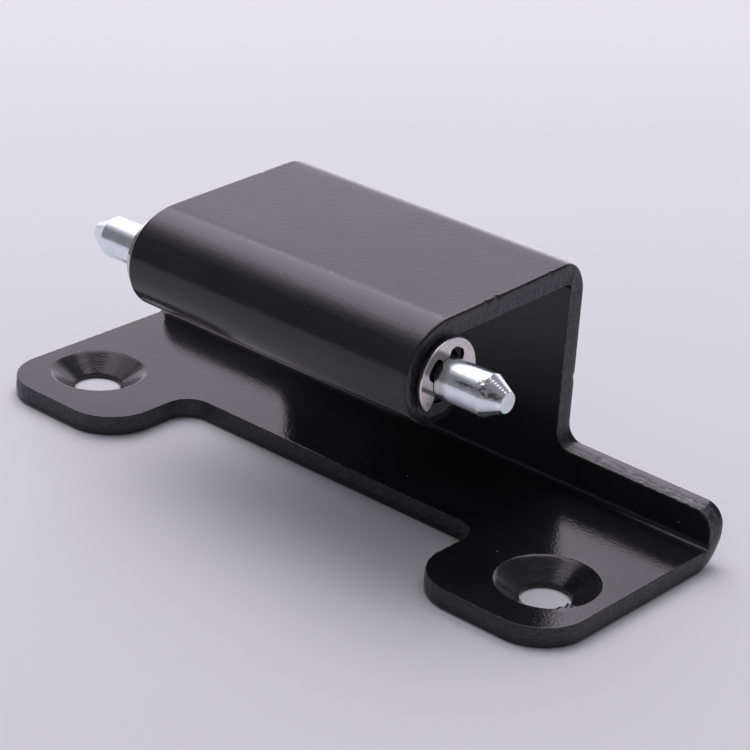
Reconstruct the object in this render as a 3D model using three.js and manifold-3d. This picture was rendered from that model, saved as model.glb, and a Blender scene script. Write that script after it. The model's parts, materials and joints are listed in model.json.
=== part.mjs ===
// Concealed cabinet hinge leaf: a folded and curled steel plate with a through pin.
//
// Frame, in millimetres: +X along the hinge pin, +Z up from the mounting face, -Y towards
// the side the ears and the knuckle point to. The origin is the middle of the bounding
// box's underside: the base plate rests on Z = 0, X = 0 halves the plate's length, and
// Y = 0 halves its depth.
import * as THREE from 'three';
import { mergeVertices } from 'three/addons/utils/BufferGeometryUtils.js';
import Module from 'manifold-3d';

// ---------------------------------------------------------------- driving dimensions
const T = 3.0;                  // sheet thickness

// base plate, seen from above
const PLATE_LENGTH = 105.0;     // along X
const PLATE_DEPTH = 37.8;       // back face to the ears' front edge, along Y
const NOTCH_DEPTH = 21.85;      // back face to the front edge between the ears
const EAR_INNER_X = 27.9;       // inner side of each ear
const EAR_RADIUS = 7.5;         // rounded front corners of the ears
const NOTCH_RADIUS = 3.8;       // inside corners between ear and notch edge

// countersunk screw holes, one in each ear
const HOLE_X = 42.9;
const HOLE_FROM_BACK = 26.0;
const HOLE_RADIUS = 3.5;        // 7 mm clearance hole for an M6 screw
const CSK_RADIUS = 7.05;        // countersink at the plate's top face
const CSK_LAND = 0.65;          // straight part left at the underside

// upright wall and web
const LOW_WALL_Z = 8.8;         // top of the low wall
const LOW_WALL_RADIUS = 3.0;    // its rounded outer top corners
const WEB_HALF = 25.7;          // half width of the web, top plate and knuckle
const WEB_FILLET = 2.5;         // inside corner between low wall and web
const BEND_OUT = 4.4;           // outer radius of both right-angle bends
const BEND_IN = 1.3;            // inner radius of both right-angle bends

// top plate: leans down towards the knuckle by a degree or so
const TOP_Z = 36.2;             // outer face at the back, before the lean
const TOP_LEAN = 0.0195;        // rise per millimetre towards the back

// knuckle: the end of the same sheet curled round the pin
const KNUCKLE_FROM_BACK = 29.66;
const KNUCKLE_Z = 28.13;
const KNUCKLE_R = 7.15;         // outer radius
const LEAD_ANGLE = 30;          // degrees of the wider lead-in curve
const CURL_END_ANGLE = -8;      // the sheet's free edge, degrees up from level on the back side

// pin, retaining rings and bush
const PIN_DROP = 0.30;          // the pin lies this far below the knuckle's centre
const PIN_R = 3.0;
const PIN_END_RIGHT = 36.75;    // tip of the pin at +X
const PIN_END_LEFT = 38.6;      // tip of the pin at -X, as a positive distance
const PIN_CONE = 2.9;           // length of the conical tips
const PIN_TIP_R = 1.45;         // flat left on each tip
const GROOVE_R = 2.5;
const GROOVE_WIDTH = 0.74;
const CLIP_T = 0.6;             // ring thickness
const CLIP_R = 5.5;             // ring outer radius
const CLIP_FACE_RIGHT = 26.85;  // outer face of the right ring
const CLIP_FACE_LEFT = 27.65;   // outer face of the left ring, as a positive distance
const CLIP_TURN = 13.5;         // degrees the rings are turned in their grooves
const CLIP_GAP = 0.07;          // ring to groove, all round and on both sides
const BUSH_DROP = 0.10;         // bush centre below the knuckle's centre
const BUSH_OUT = 3.85;
const BUSH_IN = 3.4;
const BUSH_HALF = 25.5;

// ---------------------------------------------------------------- frame helpers
const BACK_Y = PLATE_DEPTH / 2; // the back face of the wall and web
const rad = THREE.MathUtils.degToRad;
const KNUCKLE_Y = BACK_Y - KNUCKLE_FROM_BACK;
const PIN_Y = KNUCKLE_Y;
const PIN_Z = KNUCKLE_Z - PIN_DROP;

// ---------------------------------------------------------------- boolean helpers
const wasm = await Module();
wasm.setup();

function toSolid(geometry) {
  const g = geometry.clone();
  g.deleteAttribute('normal');
  g.deleteAttribute('uv');
  const merged = mergeVertices(g, 1e-5);
  return new wasm.Manifold(new wasm.Mesh({
    numProp: 3,
    vertProperties: new Float32Array(merged.attributes.position.array),
    triVerts: new Uint32Array(merged.index.array),
  }));
}

function toGeometry(solid) {
  const m = solid.getMesh();
  const g = new THREE.BufferGeometry();
  g.setAttribute('position', new THREE.BufferAttribute(new Float32Array(m.vertProperties), 3));
  g.setIndex(new THREE.BufferAttribute(new Uint32Array(m.triVerts), 1));
  g.computeVertexNormals();
  return g;
}

// a prism whose section is given in (Y, Z) and runs along X from x0 to x1
function alongX(shape, x0, x1, curveSegments = 12) {
  const g = new THREE.ExtrudeGeometry(shape, { depth: x1 - x0, bevelEnabled: false, curveSegments });
  // shape x -> Y, shape y -> Z, extrusion z -> X
  g.applyMatrix4(new THREE.Matrix4().set(
    0, 0, 1, x0,
    1, 0, 0, 0,
    0, 1, 0, 0,
    0, 0, 0, 1));
  return g;
}

// a prism whose section is given in (X, Z) and runs along Y from y0 to y1
function alongY(shape, y0, y1, curveSegments = 12) {
  const g = new THREE.ExtrudeGeometry(shape, { depth: y1 - y0, bevelEnabled: false, curveSegments });
  // shape x -> X, shape y -> Z, extrusion z -> -Y
  g.applyMatrix4(new THREE.Matrix4().set(
    1, 0, 0, 0,
    0, 0, -1, y1,
    0, 1, 0, 0,
    0, 0, 0, 1));
  return g;
}

// ---------------------------------------------------------------- sheet profile in (Y, Z)
function arc(cy, cz, r, a0, a1, n) {
  const out = [];
  for (let i = 0; i <= n; i++) {
    const a = rad(a0 + (a1 - a0) * i / n);
    out.push(new THREE.Vector2(cy + r * Math.cos(a), cz + r * Math.sin(a)));
  }
  return out;
}

function sheetProfile() {
  const lean = THREE.MathUtils.radToDeg(Math.atan(TOP_LEAN));
  const topAt = (y) => TOP_Z + TOP_LEAN * (y - BACK_Y);   // outer face of the top plate

  // wider lead-in curve between the leaning top plate and the curl; both curves share
  // a normal where they meet
  const a0 = 90 + lean;
  const a1 = a0 + LEAD_ANGLE;
  const cosDiff = Math.cos(rad(lean)) - Math.cos(rad(a1 - 90));
  let yStart = KNUCKLE_Y + 1;
  let extra = 0;
  for (let i = 0; i < 30; i++) {
    extra = (topAt(yStart) - KNUCKLE_R * Math.cos(rad(lean)) - KNUCKLE_Z) / cosDiff;
    yStart = KNUCKLE_Y - (KNUCKLE_R + extra) * Math.sin(rad(lean)) + extra * Math.sin(rad(a1 - 90));
  }
  const leadR = KNUCKLE_R + extra;
  const leadY = yStart + leadR * Math.sin(rad(lean));
  const leadZ = topAt(yStart) - leadR * Math.cos(rad(lean));

  // top bend: tangent to the web's back face and to the leaning top face
  const tb = Math.tan(rad((90 - lean) / 2));
  const outRun = BEND_OUT * tb;                             // corner to tangent point
  const outCornerZ = topAt(BACK_Y);
  const topBendOut = { y: BACK_Y - BEND_OUT, z: outCornerZ - outRun };
  const inRun = BEND_IN * tb;
  const inCornerZ = topAt(BACK_Y - T) - T / Math.cos(rad(lean));
  const topBendIn = { y: BACK_Y - T - BEND_IN, z: inCornerZ - inRun };

  const pts = [];
  // underside and back, going round the outside of the sheet
  pts.push(new THREE.Vector2(-PLATE_DEPTH / 2, 0));
  pts.push(...arc(BACK_Y - BEND_OUT, BEND_OUT, BEND_OUT, -90, 0, 10));
  pts.push(...arc(topBendOut.y, topBendOut.z, BEND_OUT, 0, a0, 10));
  pts.push(...arc(leadY, leadZ, leadR, a0, a1, 6));
  pts.push(...arc(KNUCKLE_Y, KNUCKLE_Z, KNUCKLE_R, a1, 360 + CURL_END_ANGLE, 42).slice(1));
  // and back along the inside
  pts.push(...arc(KNUCKLE_Y, KNUCKLE_Z, KNUCKLE_R - T, 360 + CURL_END_ANGLE, a1, 42));
  pts.push(...arc(leadY, leadZ, leadR - T, a1, a0, 6).slice(1));
  pts.push(...arc(topBendIn.y, topBendIn.z, BEND_IN, a0, 0, 6));
  pts.push(...arc(BACK_Y - T - BEND_IN, T + BEND_IN, BEND_IN, 0, -90, 6));
  pts.push(new THREE.Vector2(-PLATE_DEPTH / 2, T));
  return new THREE.Shape(pts);
}

// ---------------------------------------------------------------- bracket
// front elevation of the whole sheet in (X, Z): low wall with rounded ends, web above it
function elevation() {
  const h = PLATE_LENGTH / 2;
  const s = new THREE.Shape();
  s.moveTo(-h, -1);
  s.lineTo(h, -1);
  s.lineTo(h, LOW_WALL_Z - LOW_WALL_RADIUS);
  s.absarc(h - LOW_WALL_RADIUS, LOW_WALL_Z - LOW_WALL_RADIUS, LOW_WALL_RADIUS, 0, rad(90), false);
  s.lineTo(WEB_HALF + WEB_FILLET, LOW_WALL_Z);
  s.absarc(WEB_HALF + WEB_FILLET, LOW_WALL_Z + WEB_FILLET, WEB_FILLET, rad(270), rad(180), true);
  s.lineTo(WEB_HALF, 45);
  s.lineTo(-WEB_HALF, 45);
  s.lineTo(-WEB_HALF, LOW_WALL_Z + WEB_FILLET);
  s.absarc(-WEB_HALF - WEB_FILLET, LOW_WALL_Z + WEB_FILLET, WEB_FILLET, rad(0), rad(-90), true);
  s.lineTo(-h + LOW_WALL_RADIUS, LOW_WALL_Z);
  s.absarc(-h + LOW_WALL_RADIUS, LOW_WALL_Z - LOW_WALL_RADIUS, LOW_WALL_RADIUS, rad(90), rad(180), false);
  s.lineTo(-h, -1);
  return s;
}

// plan outline of the base plate in (X, Y), ears towards -Y
function planPath() {
  const h = PLATE_LENGTH / 2;
  const front = -PLATE_DEPTH / 2;
  const notch = BACK_Y - NOTCH_DEPTH;
  const e = EAR_INNER_X;
  const p = new THREE.Path();
  p.moveTo(h + 1, BACK_Y + 1);
  p.lineTo(-h - 1, BACK_Y + 1);
  p.lineTo(-h - 1, 0);
  p.lineTo(-h, 0);
  p.lineTo(-h, front + EAR_RADIUS);
  p.absarc(-h + EAR_RADIUS, front + EAR_RADIUS, EAR_RADIUS, rad(180), rad(270), false);
  p.lineTo(-e - EAR_RADIUS, front);
  p.absarc(-e - EAR_RADIUS, front + EAR_RADIUS, EAR_RADIUS, rad(270), rad(360), false);
  p.lineTo(-e, notch - NOTCH_RADIUS);
  p.absarc(-e + NOTCH_RADIUS, notch - NOTCH_RADIUS, NOTCH_RADIUS, rad(180), rad(90), true);
  p.lineTo(e - NOTCH_RADIUS, notch);
  p.absarc(e - NOTCH_RADIUS, notch - NOTCH_RADIUS, NOTCH_RADIUS, rad(90), rad(0), true);
  p.lineTo(e, front + EAR_RADIUS);
  p.absarc(e + EAR_RADIUS, front + EAR_RADIUS, EAR_RADIUS, rad(180), rad(270), false);
  p.lineTo(h - EAR_RADIUS, front);
  p.absarc(h - EAR_RADIUS, front + EAR_RADIUS, EAR_RADIUS, rad(270), rad(360), false);
  p.lineTo(h, 0);
  p.lineTo(h + 1, 0);
  p.lineTo(h + 1, BACK_Y + 1);
  return p;
}

function bracketGeometry() {
  const full = toSolid(alongX(sheetProfile(), -PLATE_LENGTH / 2, PLATE_LENGTH / 2));
  const outline = toSolid(alongY(elevation(), -40, 40, 10));

  // everything outside the plan outline, cut only through the base plate's thickness
  const around = new THREE.Shape();
  around.moveTo(-70, -40);
  around.lineTo(70, -40);
  around.lineTo(70, 40);
  around.lineTo(-70, 40);
  around.lineTo(-70, -40);
  around.holes.push(planPath());
  const trim = new THREE.ExtrudeGeometry(around, { depth: T + 2, bevelEnabled: false, curveSegments: 14 });
  trim.translate(0, 0, -1);

  let solid = full.intersect(outline).subtract(toSolid(trim));

  // countersunk holes
  const wide = CSK_RADIUS + (CSK_RADIUS - HOLE_RADIUS) / (T - CSK_LAND);
  const cutter = new THREE.LatheGeometry([
    new THREE.Vector2(0, -1),
    new THREE.Vector2(HOLE_RADIUS, -1),
    new THREE.Vector2(HOLE_RADIUS, CSK_LAND),
    new THREE.Vector2(wide, T + 1),
    new THREE.Vector2(0, T + 1),
  ], 40);
  cutter.rotateX(Math.PI / 2);                 // lathe axis Y -> Z
  for (const sx of [-1, 1]) {
    const c = cutter.clone();
    c.translate(sx * HOLE_X, BACK_Y - HOLE_FROM_BACK, 0);
    solid = solid.subtract(toSolid(c));
  }
  return toGeometry(solid);
}

// ---------------------------------------------------------------- pin
// turned section in (radius, distance along the pin), tip to tip
function pinGeometry() {
  const gR1 = CLIP_FACE_RIGHT - CLIP_T / 2 + GROOVE_WIDTH / 2;
  const gR0 = gR1 - GROOVE_WIDTH;
  const gL1 = -(CLIP_FACE_LEFT - CLIP_T / 2 + GROOVE_WIDTH / 2);
  const gL0 = gL1 + GROOVE_WIDTH;
  const p = [
    [0, -PIN_END_LEFT], [PIN_TIP_R, -PIN_END_LEFT], [PIN_R, -PIN_END_LEFT + PIN_CONE],
    [PIN_R, gL1], [GROOVE_R, gL1], [GROOVE_R, gL0], [PIN_R, gL0],
    [PIN_R, gR0], [GROOVE_R, gR0], [GROOVE_R, gR1], [PIN_R, gR1],
    [PIN_R, PIN_END_RIGHT - PIN_CONE], [PIN_TIP_R, PIN_END_RIGHT], [0, PIN_END_RIGHT],
  ].map(([r, x]) => new THREE.Vector2(r, x));
  const g = new THREE.LatheGeometry(p, 48);
  g.rotateZ(-Math.PI / 2);                     // lathe axis Y -> X
  return g;
}

// ---------------------------------------------------------------- retaining ring
// E-type ring: three lugs sit in the groove, two hollows between them, open on one side.
// Drawn with the opening towards -Y of the shape, middle lug towards +Y.
function clipGeometry() {
  const seat = GROOVE_R + CLIP_GAP;
  const hollow = 4.15;
  const polar = (r, a) => new THREE.Vector2(r * Math.cos(rad(a)), r * Math.sin(rad(a)));
  const half = [];                              // right half, from the opening to the middle lug
  half.push(polar(CLIP_R - 0.9, -33));
  half.push(polar(CLIP_R - 0.35, -31.5));
  half.push(polar(CLIP_R, -27));
  const outer = [];
  for (let a = -22; a < 90; a += 7) outer.push(polar(CLIP_R, a));
  // inner side, from the middle lug's tip back to the opening
  const inner = [];
  inner.push(polar(seat, 78));
  inner.push(polar(3.0, 77));
  inner.push(polar(3.55, 74));
  inner.push(polar(4.0, 68));
  for (let a = 60; a >= 36; a -= 6) inner.push(polar(hollow, a));
  inner.push(polar(4.0, 29));
  inner.push(polar(3.55, 23));
  inner.push(polar(3.0, 19));
  inner.push(polar(seat, 16));
  inner.push(polar(seat, 8));
  inner.push(polar(seat, 0));
  inner.push(polar(seat, -12));
  inner.push(polar(seat + 0.35, -23));
  inner.push(polar(3.45, -28));
  inner.push(polar(4.0, -31.5));
  const right = [...half, ...outer];            // opening -> top, outside
  const mirror = (v) => new THREE.Vector2(-v.x, v.y);
  const left = right.map(mirror).reverse();     // top -> opening, outside
  const innerRightToLeft = [...inner].reverse();// opening -> middle lug on the right side
  const innerLeft = innerRightToLeft.map(mirror);
  const pts = [
    ...right, new THREE.Vector2(0, CLIP_R), ...left,
    ...innerLeft, new THREE.Vector2(0, seat), ...inner,
  ];
  const g = new THREE.ExtrudeGeometry(new THREE.Shape(pts), { depth: CLIP_T, bevelEnabled: false });
  g.rotateZ(rad(CLIP_TURN));
  // shape x -> Y, shape y -> Z, thickness -> X
  g.applyMatrix4(new THREE.Matrix4().set(
    0, 0, 1, 0,
    1, 0, 0, 0,
    0, 1, 0, 0,
    0, 0, 0, 1));
  return g;
}

// ---------------------------------------------------------------- bush
function bushGeometry() {
  const p = [
    [BUSH_IN, -BUSH_HALF], [BUSH_OUT, -BUSH_HALF], [BUSH_OUT, BUSH_HALF],
    [BUSH_IN, BUSH_HALF], [BUSH_IN, -BUSH_HALF],
  ].map(([r, x]) => new THREE.Vector2(r, x));
  const g = new THREE.LatheGeometry(p, 48);
  g.rotateZ(-Math.PI / 2);
  return g;
}

// ---------------------------------------------------------------- assembly
const blackPaint = new THREE.MeshStandardMaterial({ color: 0x111114, roughness: 0.28, metalness: 0.0 });
const zincPlate = new THREE.MeshStandardMaterial({ color: 0xc4ccd6, roughness: 0.2, metalness: 1.0 });
const ringSteel = new THREE.MeshStandardMaterial({ color: 0xa9a2a0, roughness: 0.3, metalness: 1.0 });
const ringSteelLeft = ringSteel.clone();
const bushPlastic = new THREE.MeshStandardMaterial({ color: 0x1a1a1c, roughness: 0.5, metalness: 0.0 });

function piece(name, geometry, material) {
  const mesh = new THREE.Mesh(geometry, material);
  mesh.name = name;
  return mesh;
}

const hinge = new THREE.Group();
hinge.name = 'cabinet_hinge_leaf';

hinge.add(piece('bracket', bracketGeometry(), blackPaint));

const bush = piece('knuckle_bush', bushGeometry(), bushPlastic);
bush.position.set(0, KNUCKLE_Y, KNUCKLE_Z - BUSH_DROP);
hinge.add(bush);

// the pin and its two rings turn together about the pin's axis
const turning = new THREE.Group();
turning.position.set(0, PIN_Y, PIN_Z);
turning.add(piece('hinge_pin', pinGeometry(), zincPlate));

const clipRight = piece('e_clip_right', clipGeometry(), ringSteel);
clipRight.position.x = CLIP_FACE_RIGHT - CLIP_T;
turning.add(clipRight);

const clipLeft = piece('e_clip_left', clipGeometry(), ringSteelLeft);
clipLeft.position.x = -CLIP_FACE_LEFT;
turning.add(clipLeft);
hinge.add(turning);

export default hinge;
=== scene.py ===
import json
import math

import bpy
import numpy as np
from mathutils import Matrix, Vector
from mathutils.geometry import delaunay_2d_cdt
from mathutils.kdtree import KDTree


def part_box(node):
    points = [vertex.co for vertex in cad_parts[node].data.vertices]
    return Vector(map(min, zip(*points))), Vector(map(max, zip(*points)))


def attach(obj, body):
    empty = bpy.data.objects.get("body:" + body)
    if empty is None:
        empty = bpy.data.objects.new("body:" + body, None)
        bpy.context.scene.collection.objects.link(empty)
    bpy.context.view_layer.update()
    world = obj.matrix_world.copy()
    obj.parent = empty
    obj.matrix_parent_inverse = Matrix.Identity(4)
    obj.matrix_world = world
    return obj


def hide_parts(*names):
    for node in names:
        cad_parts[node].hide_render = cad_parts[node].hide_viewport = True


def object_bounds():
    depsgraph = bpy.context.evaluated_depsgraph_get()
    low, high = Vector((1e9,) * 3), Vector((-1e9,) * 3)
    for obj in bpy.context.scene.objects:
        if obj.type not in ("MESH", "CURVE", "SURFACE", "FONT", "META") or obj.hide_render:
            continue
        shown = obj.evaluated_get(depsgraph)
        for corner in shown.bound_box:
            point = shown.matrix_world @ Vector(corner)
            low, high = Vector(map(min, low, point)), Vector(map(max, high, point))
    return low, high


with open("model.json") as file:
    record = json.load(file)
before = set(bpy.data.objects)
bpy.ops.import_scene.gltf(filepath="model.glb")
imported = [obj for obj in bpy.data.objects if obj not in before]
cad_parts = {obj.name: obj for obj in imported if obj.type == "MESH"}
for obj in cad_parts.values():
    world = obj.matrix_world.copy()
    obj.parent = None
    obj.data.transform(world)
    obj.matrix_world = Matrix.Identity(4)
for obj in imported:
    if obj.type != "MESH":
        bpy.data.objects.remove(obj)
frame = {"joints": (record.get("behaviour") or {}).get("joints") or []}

cad_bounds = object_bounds()

# ------------------------------------------------------------------ sizes, all in mm
MM = 0.001
b_lo, b_hi = [v * 1000 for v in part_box("bracket")]
p_lo, p_hi = [v * 1000 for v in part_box("hinge_pin")]
r_lo, r_hi = [v * 1000 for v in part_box("e_clip_right")]
l_lo, l_hi = [v * 1000 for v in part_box("e_clip_left")]
u_lo, u_hi = [v * 1000 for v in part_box("knuckle_bush")]
turn = next(j for j in frame["joints"] if j["name"] == "pin_turn")
PIN_Y, PIN_Z = turn["pos_m"][1] * 1000, turn["pos_m"][2] * 1000

HALF = b_hi.x                      # half length of the base plate
BACK = b_hi.y                      # back face
FRONT = b_lo.y                     # front edge of the ears
T = 3.0                            # sheet
NOTCH = BACK - 21.85               # front edge between the ears
EAR_IN = 27.9
EAR_R = 7.5
NOTCH_R = 3.8
HOLE_X, HOLE_Y = 42.9, BACK - 26.0
HOLE_R, CSK_R, CSK_LAND = 3.5, 7.05, 0.65
WALL_Z_IN, WALL_Z_OUT = 8.93, 8.68  # low wall's top beside the web and at its ends
WALL_R = 3.0
WEB, WEB_FILLET = 25.7, 2.5
BEND_OUT, BEND_IN = 4.4, 0.9
TOP_Z, LEAN = 36.2, 0.0195
KY, KZ, KR = PIN_Y, PIN_Z + 0.30, 7.15
LEAD, CURL_END = 30.0, 352.0

rng = np.random.default_rng(11)


def waves(seed, count, low, high, dims=1):
    """A fixed smooth random function: a sum of sines with wavelengths from low to high (mm). Its size is about 1."""
    r = np.random.default_rng(seed)
    k = 2 * np.pi / r.uniform(low, high, (count, 1))
    d = r.normal(size=(count, dims))
    d /= np.linalg.norm(d, axis=1)[:, None]
    d = d * k
    ph = r.uniform(0, 2 * np.pi, count)

    def f(*xs):
        v = 0.0
        for i in range(count):
            v = v + np.sin(sum(d[i, j] * xs[j] for j in range(dims)) + ph[i])
        return v / math.sqrt(count / 2.0) / 1.5

    return f


def smooth(v, a, b):
    t = np.clip((v - a) / (b - a), 0, 1)
    return t * t * (3 - 2 * t)


# ------------------------------------------------------------------ the sheet's section
# s runs along the sheet from the ears' front edge (0) to the free edge of the curl, n runs
# through it from the outer face (0) to the inner face (T).
lean_deg = math.degrees(math.atan(LEAN))
a0 = 90 + lean_deg
a1 = a0 + LEAD


def top_at(y):
    return TOP_Z + LEAN * (y - BACK)


y_start, extra = KY + 1, 0.0
for _ in range(30):
    extra = (top_at(y_start) - KR * math.cos(math.radians(lean_deg)) - KZ) / (
        math.cos(math.radians(lean_deg)) - math.cos(math.radians(a1 - 90)))
    y_start = KY - (KR + extra) * math.sin(math.radians(lean_deg)) + extra * math.sin(math.radians(a1 - 90))
lead_r = KR + extra
lead_y = y_start + lead_r * math.sin(math.radians(lean_deg))
lead_z = top_at(y_start) - lead_r * math.cos(math.radians(lean_deg))
tb = math.tan(math.radians((90 - lean_deg) / 2))
tbo = (BACK - BEND_OUT, top_at(BACK) - BEND_OUT * tb)
tbi = (BACK - T - BEND_IN, top_at(BACK - T) - T / math.cos(math.radians(lean_deg)) - BEND_IN * tb)


def on(c, r, a):
    return (c[0] + r * math.cos(math.radians(a)), c[1] + r * math.sin(math.radians(a)))


MID = (BEND_OUT + BEND_IN) / 2
SEGMENTS = [
    ("line", BACK - BEND_OUT - FRONT, (FRONT, 0.0), (BACK - BEND_OUT, 0.0), (FRONT, T), (BACK - T - BEND_IN, T)),
    ("arc", MID * math.pi / 2, (BACK - BEND_OUT, BEND_OUT), BEND_OUT, (BACK - T - BEND_IN, T + BEND_IN), BEND_IN, -90, 0),
    ("line", tbo[1] - BEND_OUT, (BACK, BEND_OUT), on(tbo, BEND_OUT, 0), (BACK - T, T + BEND_IN), on(tbi, BEND_IN, 0)),
    ("arc", MID * math.radians(a0), tbo, BEND_OUT, tbi, BEND_IN, 0, a0),
    ("line", tbo[0] - y_start, on(tbo, BEND_OUT, a0), on((lead_y, lead_z), lead_r, a0), on(tbi, BEND_IN, a0), on((lead_y, lead_z), lead_r - T, a0)),
    ("arc", (lead_r - T / 2) * math.radians(LEAD), (lead_y, lead_z), lead_r, (lead_y, lead_z), lead_r - T, a0, a1),
    ("arc", (KR - T / 2) * math.radians(CURL_END - a1), (KY, KZ), KR, (KY, KZ), KR - T, a1, CURL_END),
]
STARTS = np.concatenate([[0], np.cumsum([g[1] for g in SEGMENTS])])
S_END = STARTS[-1]
S_WALL = STARTS[2]                 # where the wall's straight part begins, at z = BEND_OUT


def section(s, n):
    s, n = np.broadcast_arrays(np.asarray(s, float), np.asarray(n, float))
    y, z = np.zeros(s.shape), np.zeros(s.shape)
    for i, g in enumerate(SEGMENTS):
        m = (s >= STARTS[i]) & (s < STARTS[i + 1])
        if i == 0:
            m |= s < 0
        if i == len(SEGMENTS) - 1:
            m |= s >= STARTS[i + 1]
        if not m.any():
            continue
        t = (s[m] - STARTS[i]) / g[1]
        w = n[m] / T
        if g[0] == "line":
            oy, oz = g[2][0] + (g[3][0] - g[2][0]) * t, g[2][1] + (g[3][1] - g[2][1]) * t
            iy, iz = g[4][0] + (g[5][0] - g[4][0]) * t, g[4][1] + (g[5][1] - g[4][1]) * t
        else:
            a = np.radians(g[6] + (g[7] - g[6]) * t)
            oy, oz = g[2][0] + g[3] * np.cos(a), g[2][1] + g[3] * np.sin(a)
            iy, iz = g[4][0] + g[5] * np.cos(a), g[4][1] + g[5] * np.sin(a)
        y[m], z[m] = oy + (iy - oy) * w, oz + (iz - oz) * w
    return y, z


# ------------------------------------------------------------------ flat outline
def sample_line(out, a, b, step):
    a, b = np.array(a, float), np.array(b, float)
    length = np.linalg.norm(b - a)
    k = max(1, int(round(length / step)))
    d = (b - a) / length
    for i in range(k):
        out.append((*(a + (b - a) * i / k), d[1], -d[0]))


def sample_arc(out, c, r, d0, d1, step):
    k = max(4, int(round(abs(math.radians(d1 - d0)) * r / step)))
    sign = 1 if d1 > d0 else -1
    for i in range(k):
        a = math.radians(d0 + (d1 - d0) * i / k)
        out.append((c[0] + r * math.cos(a), c[1] + r * math.sin(a), sign * math.cos(a), sign * math.sin(a)))


def blank_outline():
    h, e, r, f, q = HALF, EAR_IN, EAR_R, NOTCH_R, 1.2
    sn = NOTCH - FRONT
    w_out, w_in = S_WALL + WALL_Z_OUT - BEND_OUT, S_WALL + WALL_Z_IN - BEND_OUT
    st, ar = 0.30, 0.24
    half = []                       # right half, from the notch's middle to the curl's middle
    sample_line(half, (0, sn), (e - f, sn), st)
    sample_arc(half, (e - f, sn - f), f, 90, 0, ar)
    sample_line(half, (e, sn - f), (e, r), st)
    sample_arc(half, (e + r, r), r, 180, 270, ar)
    sample_line(half, (e + r, 0), (h - r, 0), st)
    sample_arc(half, (h - r, r), r, 270, 360, ar)
    sample_line(half, (h, r), (h, w_out - WALL_R), 0.22)
    sample_arc(half, (h - WALL_R, w_out - WALL_R), WALL_R, 0, 90, ar)
    sample_line(half, (h - WALL_R, w_out), (WEB + WEB_FILLET, w_in), st)
    sample_arc(half, (WEB + WEB_FILLET, w_in + WEB_FILLET), WEB_FILLET, 270, 180, 0.2)
    sample_line(half, (WEB, w_in + WEB_FILLET), (WEB, S_END - q), 0.25)
    sample_arc(half, (WEB - q, S_END - q), q, 0, 90, 0.15)
    sample_line(half, (WEB - q, S_END), (0, S_END), 0.4)
    half = np.array(half)
    left = half[::-1].copy()
    left = left[:-1]                # the notch's middle is already there
    left[:, 0] *= -1
    left[:, 2] *= -1
    mid = np.array([[0.0, S_END, 0.0, 1.0]])
    full = np.concatenate([half, mid, left])
    # concave arcs: their sampled normals point at the arc's centre, which is outside the sheet
    tangent = np.roll(full[:, :2], -1, 0) - np.roll(full[:, :2], 1, 0)
    nrm = np.stack([tangent[:, 1], -tangent[:, 0]], 1)
    nrm /= np.linalg.norm(nrm, axis=1)[:, None]
    full[:, 2:] = nrm
    return full


outline = blank_outline()
N = len(outline)
perim = np.concatenate([[0], np.cumsum(np.linalg.norm(np.diff(outline[:, :2], axis=0), axis=1))])

V, EDGE, SHEAR, CSK, F = [], [], [], [], []


def add_ring(xs, ns, edge, shear, csk=0.0):
    start = len(V)
    k = len(xs)
    ns = np.broadcast_to(ns, k)
    edge, shear, csk = (np.broadcast_to(v, k) for v in (edge, shear, csk))
    for i in range(k):
        V.append((xs[i, 0], xs[i, 1], ns[i]))
    EDGE.extend(edge)
    SHEAR.extend(shear)
    CSK.extend(csk)
    return np.arange(start, start + k)


def bridge(a, b, flip=False):
    k = len(a)
    for i in range(k):
        j = (i + 1) % k
        q = (a[i], a[j], b[j], b[i])
        F.append(q[::-1] if flip else q)


rough_a, rough_b = waves(3, 40, 0.45, 2.6), waves(4, 40, 0.5, 3.0)
rough_c = waves(5, 60, 0.5, 1.8, 2)
line_n = 1.22 + 0.10 * waves(6, 20, 3, 22)(perim) + 0.035 * waves(7, 30, 0.6, 3)(perim)
# small knocks in the outer edge of the right-hand end: (x side, s, width, depth)
s_top = STARTS[4]
NICKS = [(WEB, s_top + 14.5, 0.60, 0.30), (WEB, s_top + 16.7, 0.45, 0.20), (WEB, s_top + 3.2, 0.35, 0.16),
         (-WEB, s_top + 6.0, 0.4, 0.18), (WEB, STARTS[2] + 14.0, 0.5, 0.15)]
nick = np.zeros(N)
for nx, nsv, w, d in NICKS:
    near = np.exp(-(((outline[:, 0] - nx) / 0.6) ** 2) - (((outline[:, 1] - nsv) / w) ** 2))
    nick += d * near
burr_edge = 0.5 + 0.5 * waves(8, 40, 0.8, 6)(perim)

RO, RD, RI = 0.42, 0.34, 0.12
rings = []
profile = [(RO + 0.40, 0.0, 0.0, 0.0), (RO + 0.12, 0.0, 0.15, 0.0)]
for th in (0, 18, 36, 54, 72, 90):
    a = math.radians(th)
    profile.append((RO * (1 - math.sin(a)), RD * (1 - math.cos(a)), 1.0 if th in (36, 54) else 0.75, 0.0))
for inset, n, edge, shear in profile:
    k = inset + nick * (1.0 if n < RD * 0.9 else 0.6)
    rings.append(add_ring(outline[:, :2] - outline[:, 2:] * k[:, None], n, edge, shear))
fracture = [(0.0, 0.75, 0.1, 0.05, 0.0), (0.0, -0.06, 0.0, 0.15, 0.25), (0.045, 0.05, 0.1, 0.8, 0.8), (0.05, 0.3, 0.0, 1.0, 1.0),
            (0.06, 0.58, 0.0, 1.0, 1.0), (0.07, 0.9, 0.0, 1.0, 1.0), (0.08, 1.2, 0.0, 1.0, 1.0)]
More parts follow.
